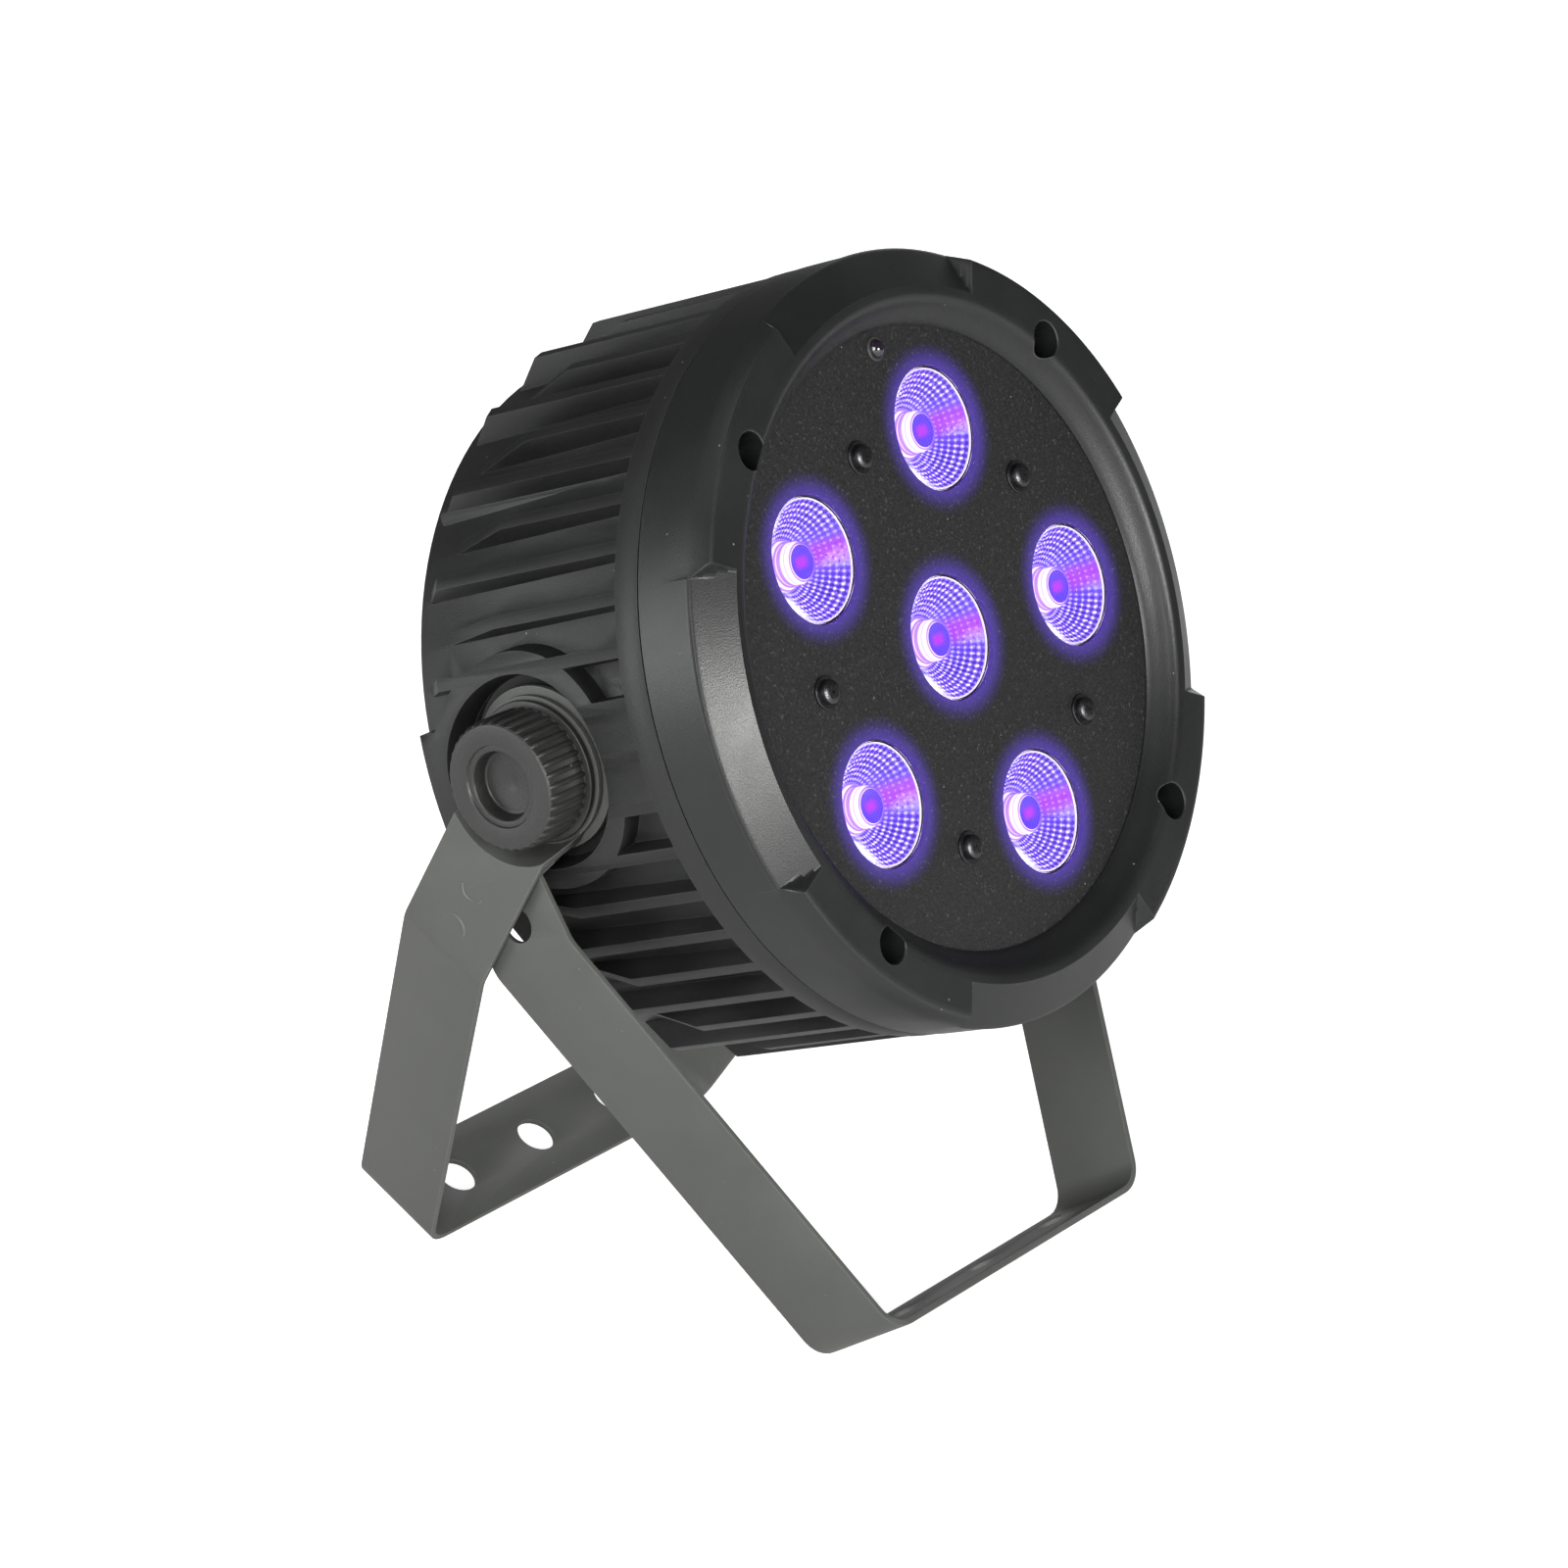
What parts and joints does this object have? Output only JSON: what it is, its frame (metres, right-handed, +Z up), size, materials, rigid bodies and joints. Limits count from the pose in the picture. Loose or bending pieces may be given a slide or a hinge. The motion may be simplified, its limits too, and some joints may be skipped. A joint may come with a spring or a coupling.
{
  "type": "par can light",
  "caption": "Flat round par can stage light on a double yoke, with a ribbed housing, lensed emitters, rear sockets and clamping side knobs.",
  "frame": {"origin": "centre of the floor under the whole object", "axes": "+Z up, the light faces -Y and up, the tilt axis lies along X"},
  "size_m": [0.203, 0.1784, 0.256],
  "materials": {
    "housing_black": "moulded plastic with a fine grain",
    "bezel_black": "satin moulded plastic",
    "panel_black": "black powder coat",
    "plate_black": "fine speckled black coat",
    "holder_black": "plain moulded",
    "lens_clear": "clear moulded optic",
    "emitter": "lit violet dome",
    "circuit_board": "green lacquer",
    "heat_sink": "extruded, as cut",
    "screw_steel": "black zinc",
    "standoff_brass": "turned",
    "knob_black": "satin moulded nylon",
    "washer_rubber": "fibre filled",
    "yoke_black": "black powder coat, satin",
    "key_black": "moulded",
    "window_smoke": "polished smoke tint",
    "display": "segment display",
    "sensor_dark": "polished dome",
    "component": "moulded cases",
    "signal_metal": "nickel shell",
    "socket_black": "moulded"
  },
  "bodies": {
    "front_yoke": {"front_yoke": "yoke_black"},
    "rear_yoke": {"rear_yoke": "yoke_black"},
    "knob_left": {"knob_left": "knob_black", "knob_bolt_left": "screw_steel"},
    "knob_right": {"knob_right": "knob_black", "knob_bolt_right": "screw_steel"},
    "key_menu": {"key_menu": "key_black"},
    "key_down": {"key_down": "key_black"},
    "key_up": {"key_up": "key_black"},
    "key_enter": {"key_enter": "key_black"},
    "head": {"bezel_screws": "screw_steel", "control_board": "circuit_board", "display_module": "display", "display_window": "window_smoke", "driver_board": "circuit_board", "driver_board_screws": "screw_steel", "driver_capacitors": "component", "driver_fuse": "component", "driver_transformer": "component", "face_plate": "plate_black", "face_plate_screws": "screw_steel", "face_plate_standoffs": "standoff_brass", "face_plate_washers": "screw_steel", "friction_washer_left": "washer_rubber", "friction_washer_right": "washer_rubber", "front_bezel": "bezel_black", "heat_sink": "heat_sink", "heat_sink_screws": "screw_steel", "housing": "housing_black", "key_switches": "component", "led_board": "circuit_board", "led_emitters": "emitter", "lens_1": "lens_clear", "lens_2": "lens_clear", "lens_3": "lens_clear", "lens_4": "lens_clear", "lens_5": "lens_clear", "lens_6": "lens_clear", "lens_holder_1": "holder_black", "lens_holder_2": "holder_black", "lens_holder_3": "holder_black", "lens_holder_4": "holder_black", "lens_holder_5": "holder_black", "lens_holder_6": "holder_black", "pivot_insert_left": "standoff_brass", "pivot_insert_right": "standoff_brass", "power_inlet": "socket_black", "power_outlet": "socket_black", "rear_panel": "panel_black", "rear_panel_screws": "screw_steel", "sensor_dome": "sensor_dark", "signal_in": "signal_metal", "signal_out": "signal_metal"}
  },
  "joints": [
    {"name": "yoke_spread", "type": "hinge", "parent": "front_yoke", "child": "rear_yoke", "pos_m": [0, -0.00207, 0.14979], "axis": [1, 0, 0], "range_deg": [-61, 118]},
    {"name": "head_tilt", "type": "hinge", "parent": "front_yoke", "child": "head", "pos_m": [0, -0.00207, 0.14979], "axis": [1, 0, 0], "range_deg": [-120, 40]},
    {"name": "knob_left_turn", "type": "hinge", "parent": "head", "child": "knob_left", "pos_m": [-0.095, -0.00207, 0.14979], "axis": [-1, 0, 0], "continuous": true},
    {"name": "knob_right_turn", "type": "hinge", "parent": "head", "child": "knob_right", "pos_m": [0.095, -0.00207, 0.14979], "axis": [1, 0, 0], "continuous": true},
    {"name": "key_menu_press", "type": "slide", "parent": "head", "child": "key_menu", "axis": [0, -0.9472, 0.3206], "range_m": [0, 0.0005], "stiffness_N_per_m": 800},
    {"name": "key_down_press", "type": "slide", "parent": "head", "child": "key_down", "axis": [0, -0.9472, 0.3206], "range_m": [0, 0.0005], "stiffness_N_per_m": 800},
    {"name": "key_up_press", "type": "slide", "parent": "head", "child": "key_up", "axis": [0, -0.9472, 0.3206], "range_m": [0, 0.0005], "stiffness_N_per_m": 800},
    {"name": "key_enter_press", "type": "slide", "parent": "head", "child": "key_enter", "axis": [0, -0.9472, 0.3206], "range_m": [0, 0.0005], "stiffness_N_per_m": 800}
  ]
}
